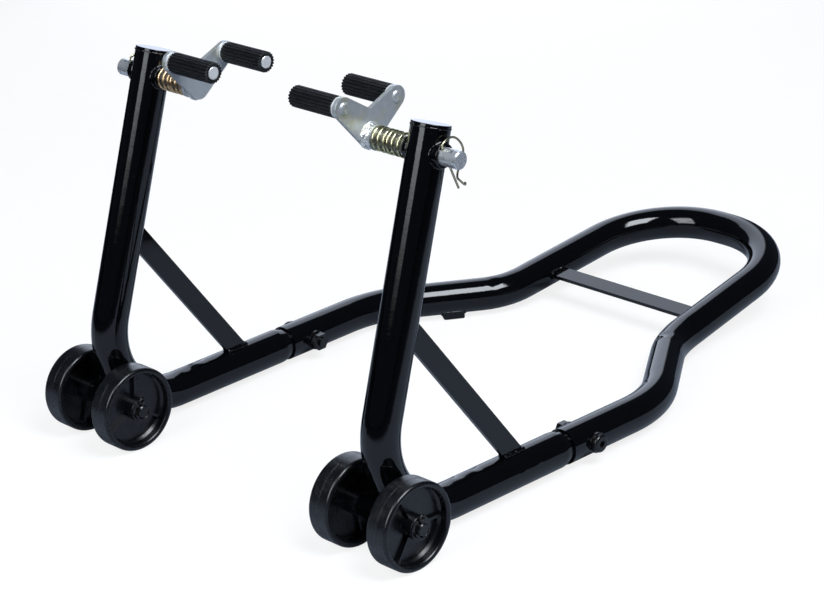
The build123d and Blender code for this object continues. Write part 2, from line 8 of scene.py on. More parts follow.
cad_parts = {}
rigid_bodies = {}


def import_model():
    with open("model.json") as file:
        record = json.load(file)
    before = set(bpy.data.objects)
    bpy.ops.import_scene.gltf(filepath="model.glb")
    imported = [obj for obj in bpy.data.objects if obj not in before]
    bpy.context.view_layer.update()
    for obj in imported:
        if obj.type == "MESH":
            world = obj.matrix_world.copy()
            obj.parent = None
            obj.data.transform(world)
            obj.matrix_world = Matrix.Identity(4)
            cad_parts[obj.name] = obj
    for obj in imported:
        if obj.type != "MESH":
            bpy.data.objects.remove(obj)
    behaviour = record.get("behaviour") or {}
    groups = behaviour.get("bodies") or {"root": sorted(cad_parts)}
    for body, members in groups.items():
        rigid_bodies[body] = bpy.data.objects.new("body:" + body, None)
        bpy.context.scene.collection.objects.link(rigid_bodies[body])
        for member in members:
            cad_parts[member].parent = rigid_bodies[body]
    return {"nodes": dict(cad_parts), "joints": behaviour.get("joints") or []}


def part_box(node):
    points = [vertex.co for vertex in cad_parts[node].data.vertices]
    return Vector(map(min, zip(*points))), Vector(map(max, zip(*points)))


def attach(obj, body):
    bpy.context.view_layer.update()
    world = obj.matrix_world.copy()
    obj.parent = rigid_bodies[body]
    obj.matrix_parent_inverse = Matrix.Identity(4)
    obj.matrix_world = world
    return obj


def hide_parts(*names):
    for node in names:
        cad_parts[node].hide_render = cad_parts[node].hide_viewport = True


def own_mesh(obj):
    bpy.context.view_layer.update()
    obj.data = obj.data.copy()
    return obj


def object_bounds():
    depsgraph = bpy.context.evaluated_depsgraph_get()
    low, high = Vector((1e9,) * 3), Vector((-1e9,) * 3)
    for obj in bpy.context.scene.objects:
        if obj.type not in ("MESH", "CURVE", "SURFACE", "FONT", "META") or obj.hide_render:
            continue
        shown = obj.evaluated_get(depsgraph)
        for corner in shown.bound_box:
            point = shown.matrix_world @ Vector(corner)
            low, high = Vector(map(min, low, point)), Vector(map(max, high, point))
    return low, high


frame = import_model()
cad_low, cad_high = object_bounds()

# The paddock stand's looks: materials for the CAD nodes, and the pieces that mesh
# work makes better than CAD. Lengths are in metres unless a name ends in _mm.

MM = 0.001
FULL_TURN = 2 * math.pi
SIDES = {"right": 1, "left": -1}

nodes = frame["nodes"]
joints = {joint["name"]: joint for joint in frame["joints"]}
axle = Vector(joints["wheel_right_outer_spin"]["pos_m"])
shaft = Vector(joints["cradle_right_swivel"]["pos_m"])


# ---------------------------------------------------------------- shader helper

class Shader:
    """Adds nodes to one node tree and links them."""

    def __init__(self, tree):
        self.tree = tree
        tree.nodes.clear()
        self.objects = self.node("ShaderNodeTexCoord").outputs["Object"]

    def node(self, kind, inputs=None, **settings):
        made = self.tree.nodes.new(kind)
        for key, value in settings.items():
            setattr(made, key, value)
        for key, value in (inputs or {}).items():
            socket = made.inputs[key]
            if isinstance(value, bpy.types.NodeSocket):
                self.tree.links.new(value, socket)
            else:
                socket.default_value = value
        return made

    def math(self, operation, first, second=0.0):
        return self.node("ShaderNodeMath", {0: first, 1: second}, operation=operation).outputs[0]

    def vector(self, operation, *inputs, output="Vector"):
        made = self.node("ShaderNodeVectorMath", dict(enumerate(inputs)), operation=operation)
        return made.outputs[output]

    def split(self, vector):
        return self.node("ShaderNodeSeparateXYZ", {0: vector}).outputs

    def stretch(self, scale):
        return self.node("ShaderNodeMapping", {"Vector": self.objects, "Scale": scale}).outputs[0]

    def grain(self, size_mm, detail=2.0, roughness=0.5, vector=None):
        """Noise with features about size_mm across, 0 to 1."""
        return self.node("ShaderNodeTexNoise", {
            "Vector": vector or self.objects,
            "Scale": 1 / (size_mm * MM),
            "Detail": detail,
            "Roughness": roughness,
        }).outputs["Fac"]

    def dots(self, spacing_mm, radius_mm, share):
        """Small round specks, 0 to 1: about one cell in 1 / share holds one."""
        cells = self.node("ShaderNodeTexVoronoi", {
            "Vector": self.objects,
            "Scale": 1 / (spacing_mm * MM),
        }).outputs
        reach = radius_mm / spacing_mm
        near = self.span(cells["Distance"], reach, reach * 0.5)
        pick = self.node("ShaderNodeSeparateColor", {"Color": cells["Color"]}).outputs[0]
        return self.math("MULTIPLY", near, self.math("LESS_THAN", pick, share))

    def span(self, value, low, high, to_low=0.0, to_high=1.0):
        """A smooth step from to_low to to_high as the value goes from low to high."""
        return self.node("ShaderNodeMapRange", {
            "Value": value,
            "From Min": low,
            "From Max": high,
            "To Min": to_low,
            "To Max": to_high,
        }, interpolation_type="SMOOTHSTEP").outputs[0]

    def between(self, share, low, high):
        """low where the share is 0, high where it is 1."""
        return self.span(share, 0.0, 1.0, low, high)

    def total(self, *terms):
        """The sum of value times weight over the terms."""
        result = None
        for value, weight in terms:
            term = self.math("MULTIPLY", value, weight)
            result = term if result is None else self.math("ADD", result, term)
        return result

    def mix(self, factor, first, second):
        colors = {"Fac": factor}
        for key, value in (("Color1", first), ("Color2", second)):
            colors[key] = value if isinstance(value, bpy.types.NodeSocket) else (*value, 1.0)
        return self.node("ShaderNodeMixRGB", colors).outputs[0]

    def bump(self, height, depth_mm, normal=None):
        inputs = {"Height": height, "Distance": depth_mm * MM, "Strength": 1.0}
        if normal is not None:
            inputs["Normal"] = normal
        return self.node("ShaderNodeBump", inputs).outputs[0]

    def radius_from(self, center):
        """Distance from the line along X through center."""
        moved = self.vector("SUBTRACT", self.objects, center)
        flat = self.vector("MULTIPLY", moved, (0, 1, 1))
        return self.vector("LENGTH", flat, output="Value")

    def from_middle(self):
        """Distance from the plane between the two sides of the stand."""
        return self.math("ABSOLUTE", self.split(self.objects)[0])

    def glow(self, tint, strength):
        inputs = {"Color": (*tint, 1.0), "Strength": strength}
        return self.node("ShaderNodeEmission", inputs).outputs[0]

    def show(self, surface):
        self.node("ShaderNodeOutputMaterial", {"Surface": surface})

    def finish(self, **inputs):
        self.show(self.node("ShaderNodeBsdfPrincipled", inputs).outputs[0])


def new_shader(name):
    material = bpy.data.materials.new(name)
    material.use_nodes = True
    return material, Shader(material.node_tree)


# ------------------------------------------------------------------- materials

# Marks the bending press left on the tubes: where, how far they reach, how high
PRESS_MARKS = [
    ((0.182, -0.247, 0.0385), 9.0, -0.5),
    ((0.188, -0.232, 0.0375), 12.0, 0.9),
    ((0.172, -0.240, 0.0350), 9.0, 0.6),
    ((0.2025, -0.186, 0.0285), 6.5, -0.3),
    ((0.2025, -0.186, 0.0285), 3.5, 0.3),
    ((0.205, -0.160, 0.0240), 5.0, -0.15),
    ((0.1150, 0.122, 0.0350), 10.0, -0.7),
    ((0.1280, 0.128, 0.0380), 9.0, 0.5),
    ((0.1700, 0.022, 0.0360), 9.0, -0.5),
    ((0.1630, 0.032, 0.0370), 8.0, 0.4),
]
PRESS_WOBBLE = 6 * MM
PRESS_WOBBLE_SCALE = 70.0

RADIANS_PER_METRE_ON_ROLLERS = 5200.0
RADIANS_PER_METRE_ON_SHAFTS = 9000.0
HUB_INNER_END = 16.0 * MM
TREAD_INNER_RADIUS = 39.8 * MM
TREAD_OUTER_RADIUS = 40.8 * MM
SEAM_HALF_WIDTH = 0.6 * MM
SEAM_FLAT_HALF_WIDTH = 0.2 * MM

STRAW = (0.60, 0.58, 0.36)


def press_marks(shade):
    """Height of the press marks in mm; both sides of the stand carry the same ones."""
    parts = shade.split(shade.objects)
    mirrored = shade.node("ShaderNodeCombineXYZ", {
        0: shade.math("ABSOLUTE", parts[0]),
        1: parts[1],
        2: parts[2],
    }).outputs[0]
    wobble = shade.node("ShaderNodeTexNoise", {
        "Vector": shade.objects,
        "Scale": PRESS_WOBBLE_SCALE,
        "Detail": 0.5,
    }).outputs["Color"]
    shifted = shade.vector("MULTIPLY_ADD", wobble, (PRESS_WOBBLE,) * 3, mirrored)
    centered = shade.vector("SUBTRACT", shifted, (PRESS_WOBBLE / 2,) * 3)
    marks = []
    for place, reach_mm, height_mm in PRESS_MARKS:
        far = shade.vector("DISTANCE", centered, place, output="Value")
        marks.append((shade.span(far, 0.0, reach_mm * MM, height_mm, 0.0), 1.0))
    return shade.total(*marks)


def powder_coat():
    """Gloss black powder coat: orange peel, a few pits and specks, a trace of dust."""
    material, shade = new_shader("gloss_powder_coat")
    peel = shade.grain(2.6, detail=1.0)
    fine = shade.grain(0.7, detail=2.0)
    waves = shade.grain(18.0, detail=1.0)
    pits = shade.span(shade.grain(3.2, detail=3.0, roughness=0.7), 0.745, 0.76)
    dust = shade.span(shade.grain(9.0, detail=6.0, roughness=0.75), 0.55, 0.8)
    specks = shade.dots(14.0, 0.55, 0.22)
    height = shade.total((peel, 1.0), (fine, 0.12), (waves, 3.0), (pits, -1.5), (specks, 3.0))
    base = shade.mix(dust, (0.001, 0.0011, 0.0014), (0.0024, 0.0026, 0.0034))
    shade.finish(**{
        "Base Color": shade.mix(specks, base, (0.035, 0.036, 0.04)),
        "Roughness": shade.between(dust, 0.055, 0.16),
        "IOR": 1.5,
        "Normal": shade.bump(height, 0.028, shade.bump(press_marks(shade), 1.0)),
    })
    return material


def satin_paint():
    """Black oxide on fasteners: satin, a little brown where it is rubbed."""
    material, shade = new_shader("satin_hardware_black")
    grain = shade.grain(1.1, detail=4.0, roughness=0.6)
    rub = shade.span(shade.grain(4.0, detail=5.0, roughness=0.7), 0.45, 0.75)
    shade.finish(**{
        "Base Color": shade.mix(rub, (0.0025, 0.0025, 0.003), (0.013, 0.0105, 0.0095)),
        "Roughness": shade.span(grain, 0.3, 0.7, 0.17, 0.29),
        "IOR": 1.5,
        "Normal": shade.bump(grain, 0.012),
    })
    return material


def mould_seam(shade):
    """The thin raised lines round the middle of each roller's tread."""
    outer_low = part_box("wheel_right_outer")[0]
    inner_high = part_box("wheel_right_inner")[1]
    from_middle = shade.from_middle()
    lines = []
    for roller_middle in (inner_high.x - HUB_INNER_END, outer_low.x + HUB_INNER_END):
        off = shade.math("ABSOLUTE", shade.math("SUBTRACT", from_middle, roller_middle))
        lines.append(shade.span(off, SEAM_HALF_WIDTH, SEAM_FLAT_HALF_WIDTH))
    return shade.math("MAXIMUM", *lines)


def roller_plastic():
    """Moulded black plastic: faint turning rings, a scuffed tread with a mould seam."""
    material, shade = new_shader("moulded_black_plastic")
    radius = shade.radius_from(axle)
    rings = shade.math("SINE", shade.math("MULTIPLY", radius, RADIANS_PER_METRE_ON_ROLLERS))
    tread = shade.span(radius, TREAD_INNER_RADIUS, TREAD_OUTER_RADIUS)
    seam = shade.math("MULTIPLY", tread, mould_seam(shade))
    patches = shade.span(shade.grain(11.0, detail=5.0, roughness=0.7), 0.38, 0.72)
    scuffs = shade.span(shade.grain(1.6, detail=5.0, roughness=0.75), 0.56, 0.72)
    scuffed = shade.math("MULTIPLY", tread, shade.total((patches, 0.35), (scuffs, 0.65)))
    specks = shade.math("MULTIPLY", shade.dots(5.0, 0.42, 0.2), tread)
    grain = shade.grain(0.8, detail=4.0, roughness=0.65)
    grain = shade.math("MULTIPLY", grain, shade.between(tread, 0.25, 1.6))
    height = shade.total((grain, 1.0), (rings, 0.1), (seam, 9.0))
    base = shade.mix(scuffed, (0.0028, 0.0032, 0.004), (0.009, 0.0105, 0.0125))
    roughness = shade.total((shade.between(patches, 0.25, 0.29), 1.0), (scuffed, 0.2))
    shade.finish(**{
        "Base Color": shade.mix(specks, base, (0.09, 0.095, 0.1)),
        "Roughness": roughness,
        "IOR": 1.5,
        "Normal": shade.bump(height, 0.02),
    })
    return material


def ribbed_rubber():
    """Matt black sleeve rubber with a fine moulded grain."""
    material, shade = new_shader("ribbed_rubber")
    grain = shade.grain(0.5, detail=4.0, roughness=0.7)
    along = shade.grain(1.4, detail=3.0, vector=shade.stretch((0.12, 1, 1)))
    bloom = shade.span(shade.grain(7.0, detail=4.0), 0.4, 0.75)
    shade.finish(**{
        "Base Color": shade.mix(bloom, (0.0025, 0.003, 0.004), (0.007, 0.0075, 0.009)),
        "Roughness": shade.span(along, 0.3, 0.7, 0.36, 0.46),
        "IOR": 1.5,
        "Normal": shade.bump(shade.math("ADD", grain, along), 0.018),
    })
    return material


def zinc_plate(name, bright_inside):
    """Dull zinc plating with a faint straw tint in patches. The peg ends that face
    the middle of the stand can be brighter, as turned faces are."""
    material, shade = new_shader(name)
    mottle = shade.span(shade.grain(6.0, detail=5.0, roughness=0.6), 0.3, 0.7)
    straw = shade.span(shade.grain(16.0, detail=2.0), 0.5, 0.68)
    fine = shade.grain(0.45, detail=3.0, roughness=0.7)
    scratches = shade.grain(0.5, detail=2.0, vector=shade.stretch((1, 0.08, 0.9)))
    base = shade.mix(mottle, (0.56, 0.595, 0.615), (0.64, 0.665, 0.68))
    base = shade.mix(shade.math("MULTIPLY", straw, 0.5), base, STRAW)
    metallic = 0.72
    if bright_inside:
        plate_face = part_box("cradle_plate_right")[0].x
        inside = shade.span(shade.from_middle(), plate_face, plate_face - 1 * MM)
        base = shade.mix(inside, base, (0.80, 0.805, 0.81))
        metallic = shade.between(inside, metallic, 0.45)
    shade.finish(**{
        "Base Color": base,
        "Metallic": metallic,
        "Roughness": shade.between(mottle, 0.44, 0.32),
        "Normal": shade.bump(shade.total((fine, 1.0), (scratches, 0.6)), 0.022),
    })
    return material


def turned_zinc():
    """Bright zinc on a turned shaft: rings round the axis, and painted shade on the shaft where it
    runs inside the spring.
    """
    material, shade = new_shader("turned_zinc")
    radius = shade.radius_from(shaft)
    face_rings = shade.math("SINE", shade.math("MULTIPLY", radius, RADIANS_PER_METRE_ON_SHAFTS))
    rings = shade.grain(0.35, detail=2.0, vector=shade.stretch((1, 0.05, 0.05)))
    stains = shade.span(shade.grain(5.0, detail=4.0), 0.42, 0.75)
    bushing_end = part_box("adapter_bushing_right")[0].x
    # Painted shade: the shaft is drawn darker inside the spring, where the coils shade it.
    painted_shade_under_spring = shade.span(shade.from_middle(), bushing_end + 4 * MM, bushing_end, 0.0, 0.8)
    plain_zinc = shade.mix(stains, (0.72, 0.745, 0.77), (0.62, 0.645, 0.67))
    shade.finish(**{
        "Base Color": shade.mix(painted_shade_under_spring, plain_zinc, (0.20, 0.19, 0.14)),
        "Metallic": 0.75,
        "Roughness": shade.between(stains, 0.24, 0.36),
        "Normal": shade.bump(shade.total((rings, 0.4), (face_rings, 0.06)), 0.03),
    })
    return material


def plated_weld():
    """Bright plated weld metal with straw patches."""
    material, shade = new_shader("plated_weld")
    lumps = shade.grain(1.8, detail=4.0, roughness=0.6)
    straw = shade.span(shade.grain(4.0, detail=2.0), 0.5, 0.7)
    straw = shade.math("MULTIPLY", straw, 0.7)
    shade.finish(**{
        "Base Color": shade.mix(straw, (0.86, 0.87, 0.87), (0.72, 0.66, 0.42)),
        "Metallic": 0.8,
        "Roughness": shade.span(lumps, 0.3, 0.7, 0.2, 0.34),
        "Normal": shade.bump(lumps, 0.08),
    })
    return material


def yellow_zinc(name, pale, deep, painted_edge_shade_tint):
    """Yellow zinc wire: the colour drifts along it, with painted shade that darkens the wire
    towards the edges seen by the camera.
    """
    material, shade = new_shader(name)
    drift = shade.span(shade.grain(3.5, detail=2.0), 0.35, 0.65)
    marks = shade.grain(0.9, detail=2.0, roughness=0.6)
    # Painted shade: the wire's colour darkens where its surface turns away from the camera.
    facing = shade.node("ShaderNodeLayerWeight", {"Blend": 0.45}).outputs["Facing"]
    edge = shade.math("MULTIPLY", facing, 0.55)
    shade.finish(**{
        "Base Color": shade.mix(edge, shade.mix(drift, pale, deep), painted_edge_shade_tint),
        "Metallic": 1.0,
        "Roughness": shade.span(marks, 0.3, 0.7, 0.22, 0.3),
        "Normal": shade.bump(marks, 0.01),
    })
    return material


PAINT = powder_coat()
HARDWARE = satin_paint()
PLASTIC = roller_plastic()
RUBBER = ribbed_rubber()
ZINC = zinc_plate("dull_zinc", False)
PEG_ZINC = zinc_plate("peg_zinc", True)
TURNED = turned_zinc()
WELD = plated_weld()
GOLD = yellow_zinc(
    "yellow_zinc_wire", (0.80, 0.74, 0.47), (0.66, 0.66, 0.40), (0.42, 0.46, 0.24)
)
COPPER = yellow_zinc(
    "copper_zinc_wire", (0.86, 0.62, 0.36), (0.78, 0.52, 0.30), (0.50, 0.34, 0.20)
)
CLIP = yellow_zinc(
    "olive_zinc_wire", (0.62, 0.58, 0.36), (0.48, 0.47, 0.30), (0.30, 0.29, 0.16)
)

# The CAD nodes that carry each material; {} stands for each side
FINISHES = [
    (PAINT, [
        "side_tube_{}", "post_cap_{}", "adapter_bushing_{}", "brace_{}", "brace_welds_{}",
        "foot_{}", "axle_boss_{}", "handle_tube", "cross_bar", "cross_bar_welds",
    ]),
    (HARDWARE, [
        "axle_{}", "hub_washers", "split_pins", "joint_bolts", "joint_washers", "joint_nuts",
    ]),
    (PLASTIC, ["wheel_{}_outer", "wheel_{}_inner"]),
    (TURNED, ["adapter_shaft_{}"]),
    (ZINC, ["cradle_plate_{}", "spring_washer_{}"]),
    (PEG_ZINC, ["peg_{}_front", "peg_{}_rear"]),
    (WELD, ["cradle_weld_{}"]),
    (CLIP, ["retaining_clip_{}"]),
    (RUBBER, ["sleeve_{}_front", "sleeve_{}_rear"]),
    (GOLD, ["spring_right"]),
    (COPPER, ["spring_left"]),
]


def paint_nodes():
    for material, templates in FINISHES:
        names = {template.format(side_name) for template in templates for side_name in SIDES}
        for name in names:
            mesh = nodes[name].data
            mesh.materials.clear()
            mesh.materials.append(material)
            mesh.polygons.foreach_set("material_index", [0] * len(mesh.polygons))


# --------------------------------------------------------------- mesh building

def angles(count):
    return [FULL_TURN * step / count for step in range(count)]


def point_round(center, x, reach, turn):
    """A point at x, off the line along X through center."""
    return Vector((x, center.y + reach * math.cos(turn), center.z + reach * math.sin(turn)))


def middle_of(node):
    low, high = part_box(node)
    return (low + high) / 2


def half_height_of(node):
    low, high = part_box(node)
    return (high.z - low.z) / 2


def link(name, mesh):
    made = bpy.data.objects.new(name, mesh)
    bpy.context.scene.collection.objects.link(made)
    return made


def make_piece(name, points, faces, material, body):
    mesh = bpy.data.meshes.new(name)
    mesh.from_pydata([tuple(point) for point in points], [], faces)
    mesh.materials.append(material)
    mesh.polygons.foreach_set("use_smooth", [True] * len(mesh.polygons))
    mesh.validate()
    piece = link(name, mesh)
    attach(piece, body)
    return piece


def band_faces(ring_count, ring_size, closed):
    """Quads between rings of points that follow each other."""
    faces = []
    last = ring_count if closed else ring_count - 1
    for ring in range(last):
        here, there = ring * ring_size, (ring + 1) % ring_count * ring_size
        for step in range(ring_size):
            follow = (step + 1) % ring_size
            faces.append((here + step, here + follow, there + follow, there + step))
    return faces


def path_frames(path, closed):
    """A tangent and two crosswise directions at each point, without twist."""
    count = len(path)
    tangents = []
    for index in range(count):
        if closed:
            step = path[(index + 1) % count] - path[index - 1]
        else:
            step = path[min(index + 1, count - 1)] - path[max(index - 1, 0)]
        tangents.append(step.normalized())
    across = tangents[0].orthogonal().normalized()
    frames = []
    for tangent in tangents:
        across = (across - tangent * across.dot(tangent)).normalized()
        frames.append((across, tangent.cross(across)))
    return frames


def sweep(path, radius_at, ring_size, closed):
    """Points and faces of a round bar along a path, with a radius at each point."""
    points = []
    for index, (across, up) in enumerate(path_frames(path, closed)):
        for turn in angles(ring_size):
            reach = radius_at(index, turn)
            points.append(path[index] + (across * math.cos(turn) + up * math.sin(turn)) * reach)
    faces = band_faces(len(path), ring_size, closed)
    if not closed:
        faces.append(tuple(range(ring_size - 1, -1, -1)))
        start = (len(path) - 1) * ring_size
        faces.append(tuple(range(start, start + ring_size)))
    return points, faces


def surface_of(node):
    mesh = nodes[node].data
    corners = [vertex.co.copy() for vertex in mesh.vertices]
    return BVHTree.FromPolygons(corners, [tuple(polygon.vertices) for polygon in mesh.polygons])


# ------------------------------------------------------------------ weld beads

BAR_SIDES = 14

# How far a bead's radius swells, roughens and ripples, as shares of the radius
BEAD_SWELL = 0.4
BEAD_SWELL_SCALE = 230
BEAD_GRAIN = 0.1
BEAD_GRAIN_SCALE = 500
BEAD_RIPPLE = 0.08
BEAD_RIPPLE_STEP = 1.15
BEAD_SEED_SCALE = 90
BEAD_SEED = 3.7

BUSHING_BEAD = 1.4 * MM
BUSHING_BEAD_CLEARANCE = 0.2 * MM
BUSHING_BEAD_POINTS = 72
FOOT_BEAD = 1.5 * MM
FOOT_BEAD_CLEARANCE = 0.6 * MM
FOOT_BEAD_POINTS = 64
BOSS_BEAD = 1.8 * MM
BOSS_BEAD_CLEARANCE = 0.4 * MM
BOSS_BEAD_STEP = 1.2 * MM
BOSS_BEAD_HALF_STEPS = 12
CAP_BEAD = 0.75 * MM
CAP_BEAD_INSET = 0.35 * MM
CAP_BEAD_POINTS = 120

# A polygon of the cap counts as its top when its normal points up this much
CAP_TOP_NORMAL = 0.9

LUMP_SIZE = 3.6 * MM
LUMP_HEIGHT = 1.4 * MM
CRADLE_LUMP_HEIGHT = 1.6 * MM
LUMP_ZERO_LEVEL = 0.42
LUMP_VOXEL = 0.35 * MM

# Where rays start: well clear of the post, of a foot's side, and above the rounding
# of a foot's lower edge. NEAR_POST tells the post's skin from the rest of the tube.
CLEAR_OF_POST = 80 * MM
CLEAR_OF_FOOT = 50 * MM
ABOVE_FOOT_EDGE = 3 * MM
NEAR_POST = 30 * MM


def bead_along(name, path, radius, closed=True):
    """A painted weld bead on the frame: uneven thickness with ripples along its run."""
    seed = Vector((path[0].x * BEAD_SEED_SCALE, path[0].y * BEAD_SEED_SCALE, BEAD_SEED))

    def radius_at(index, turn):
        place = path[index]
        round_bead = Vector((0, 0, turn))
        swell = noise.noise(place * BEAD_SWELL_SCALE + seed) * BEAD_SWELL
        grain = noise.noise(place * BEAD_GRAIN_SCALE + seed + round_bead) * BEAD_GRAIN
        ripple = math.sin(index * BEAD_RIPPLE_STEP) * BEAD_RIPPLE
        return radius * (1 + swell + grain + ripple)

    points, faces = sweep(path, radius_at, BAR_SIDES, closed)
    make_piece(name, points, faces, PAINT, "frame")


def ring_on_post(side_name, face):
    """Points where a cylinder round the bushing meets the post's skin on one face."""
    surface = surface_of("side_tube_" + side_name)
    bushing = "adapter_bushing_" + side_name
    middle = middle_of(bushing)
    reach = half_height_of(bushing) + BUSHING_BEAD_CLEARANCE
    outward = SIDES[side_name] * face
    ring = []
    for turn in angles(BUSHING_BEAD_POINTS):
        start = point_round(shaft, middle.x + outward * CLEAR_OF_POST, reach, turn)
        hit = surface.ray_cast(start, Vector((-outward, 0, 0)))[0]
        if hit is not None and abs(hit.x - middle.x) < NEAR_POST:
            ring.append(hit)
    return ring


def add_bushing_welds():
    for side_name in SIDES:
        for face, label in ((1, "outer"), (-1, "inner")):
            name = "bushing_weld_" + side_name + "_" + label
            bead_along(name, ring_on_post(side_name, face), BUSHING_BEAD)


def add_foot_welds():
    """A bead round each foot, where it meets the handle tube."""
    surface = surface_of("handle_tube")
    for side_name in SIDES:
        foot = surface_of("foot_" + side_name)
        middle = middle_of("foot_" + side_name)
        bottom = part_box("foot_" + side_name)[0].z
        ring = []
        for turn in angles(FOOT_BEAD_POINTS):
            outward = Vector((math.cos(turn), math.sin(turn), 0))
            start = Vector((middle.x, middle.y, bottom + ABOVE_FOOT_EDGE)) + outward * CLEAR_OF_FOOT
            edge = foot.ray_cast(start, -outward)[0] + outward * FOOT_BEAD_CLEARANCE
            hit = surface.ray_cast(Vector((edge.x, edge.y, bottom)), Vector((0, 0, 1)))[0]
            if hit is not None:
                ring.append(hit)
        bead_along("foot_weld_" + side_name, ring, FOOT_BEAD)


def boss_bead_path(side_name, degrees_in_order):
    """Points along the boss where the tube's skin first comes within reach of it,
    with the directions tried in the given order."""
    surface = surface_of("side_tube_" + side_name)
    boss = "axle_boss_" + side_name
    middle = middle_of(boss)
    reach = half_height_of(boss) + BOSS_BEAD_CLEARANCE
    path = []
    for step in range(-BOSS_BEAD_HALF_STEPS, BOSS_BEAD_HALF_STEPS + 1):
        start = Vector((middle.x + step * BOSS_BEAD_STEP, middle.y, middle.z))
        for degrees in degrees_in_order:
            turn = math.radians(degrees)
            hit = surface.ray_cast(start, Vector((0, math.cos(turn), math.sin(turn))))[0]
            if hit is not None and (hit - start).length < reach:
                path.append(hit)
                break
    return path


def add_boss_welds():
    """Beads along both sides of the axle boss, where it meets the bend."""
    for side_name in SIDES:
        for label, degrees in (("upper", range(179, 0, -1)), ("lower", range(-140, 1))):
            name = "boss_weld_" + side_name + "_" + label
            bead_along(name, boss_bead_path(side_name, degrees), BOSS_BEAD, closed=False)


def add_cap_welds():
    """The low ripple left by welding each cap onto its post."""
    for side_name in SIDES:
        mesh = nodes["post_cap_" + side_name].data
        axis = Vector()
        center = Vector()
        area = 0.0
        for polygon in mesh.polygons:
            if polygon.normal.z > CAP_TOP_NORMAL:
                axis += polygon.normal * polygon.area
                center += polygon.center * polygon.area
                area += polygon.area
        axis.normalize()
        center /= area
        offsets = [vertex.co - center for vertex in mesh.vertices]
        thickness = max(-offset.dot(axis) for offset in offsets)
        reach = max((offset - axis * offset.dot(axis)).length for offset in offsets)
        seat = center - axis * thickness
        across = axis.orthogonal().normalized()
        other = axis.cross(across)
        ring = []
        for turn in angles(CAP_BEAD_POINTS):
            outward = across * math.cos(turn) + other * math.sin(turn)
            ring.append(seat + outward * (reach - CAP_BEAD_INSET))
        bead_along("cap_weld_" + side_name, ring, CAP_BEAD)


def lump_welds():
    """Turns the plain CAD fillets into uneven weld beads."""
    clouds = bpy.data.textures.new("weld_lumps", "CLOUDS")
    clouds.noise_scale = LUMP_SIZE
    clouds.noise_depth = 1
    lump_heights = {"cross_bar_welds": LUMP_HEIGHT}
    for side_name in SIDES:
        lump_heights["brace_welds_" + side_name] = LUMP_HEIGHT
        lump_heights["cradle_weld_" + side_name] = CRADLE_LUMP_HEIGHT
    for name, lump_height in lump_heights.items():
        node = nodes[name]
        remesh = node.modifiers.new("even", "REMESH")
        remesh.mode = "VOXEL"
        remesh.voxel_size = LUMP_VOXEL
        remesh.use_smooth_shade = True
        lumps = node.modifiers.new("lumps", "DISPLACE")
        lumps.texture = clouds
        lumps.texture_coords = "LOCAL"
        lumps.strength = lump_height
        lumps.mid_level = LUMP_ZERO_LEVEL
        soften = node.modifiers.new("soften", "SMOOTH")
        soften.factor = 0.5
        soften.iterations = 5


# --------------------------------------------------------------------- sleeves

SLEEVE_WALL = 3.7 * MM
SLEEVE_RIBS = 20
SLEEVE_POINTS_PER_RIB = 12
SLEEVE_GROOVE = 1.5 * MM
SLEEVE_RIB_SQUARENESS = 0.4
SLEEVE_EDGE = 0.9 * MM
SLEEVE_BORE_CHAMFER = 0.3 * MM
SLEEVE_BORE_DEPTH = 0.35 * MM
SLEEVE_EDGE_STEPS = 4
SLEEVE_LENGTH_STEPS = 24


def add_sleeve(side_name, place):
    """A rubber sleeve with rounded ribs and softened ends, in place of the CAD one."""
    node = "sleeve_" + side_name + "_" + place
    side = SIDES[side_name]
    low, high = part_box(node)
    middle = middle_of(node)
    outer = half_height_of(node)
    inner = outer - SLEEVE_WALL
    ring_size = SLEEVE_RIBS * SLEEVE_POINTS_PER_RIB
    start = low.x if side > 0 else high.x
    length = abs(high.x - low.x)

    def ring(along, reach_at):
        x = start + side * along
        return [point_round(middle, x, reach_at(turn), turn) for turn in angles(ring_size)]

    def bore(along, reach):
        return ring(along, lambda turn: reach)

    def ribbed(along, shrink):
        def reach_at(turn):
            wave = 0.5 + 0.5 * math.cos(SLEEVE_RIBS * turn)
            return outer - SLEEVE_GROOVE * (1 - wave ** SLEEVE_RIB_SQUARENESS) - shrink
        return ring(along, reach_at)

    def edge(step):
        """How far along and how far in the rounded edge is at a step."""
        turn = math.pi / 2 * step / SLEEVE_EDGE_STEPS
        return SLEEVE_EDGE * (1 - math.cos(turn)), SLEEVE_EDGE * (1 - math.sin(turn))

    rings = [bore(SLEEVE_BORE_DEPTH, inner), bore(0.0, inner + SLEEVE_BORE_CHAMFER)]
    for step in range(SLEEVE_EDGE_STEPS + 1):
        along, shrink = edge(step)
        rings.append(ribbed(along, shrink))
    straight = length - 2 * SLEEVE_EDGE
    for step in range(1, SLEEVE_LENGTH_STEPS):
        rings.append(ribbed(SLEEVE_EDGE + straight * step / SLEEVE_LENGTH_STEPS, 0.0))
    for step in range(SLEEVE_EDGE_STEPS - 1, -1, -1):
        along, shrink = edge(step)
        rings.append(ribbed(length - along, shrink))
    rings.append(bore(length, inner))
    points = [point for made in rings for point in made]
    faces = band_faces(len(rings), ring_size, False)
    if side < 0:
        faces = [tuple(reversed(face)) for face in faces]
    body = "cradle_" + side_name
    piece = make_piece("ribbed_" + node, points, faces, RUBBER, body)
    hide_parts(node)


# --------------------------------------------------------------------- springs

SPRING_WIRE_RADIUS = 1.1 * MM
SPRING_TURNS = 6.25
SPRING_STEPS = 340
SPRING_UNEVENNESS = 0.075


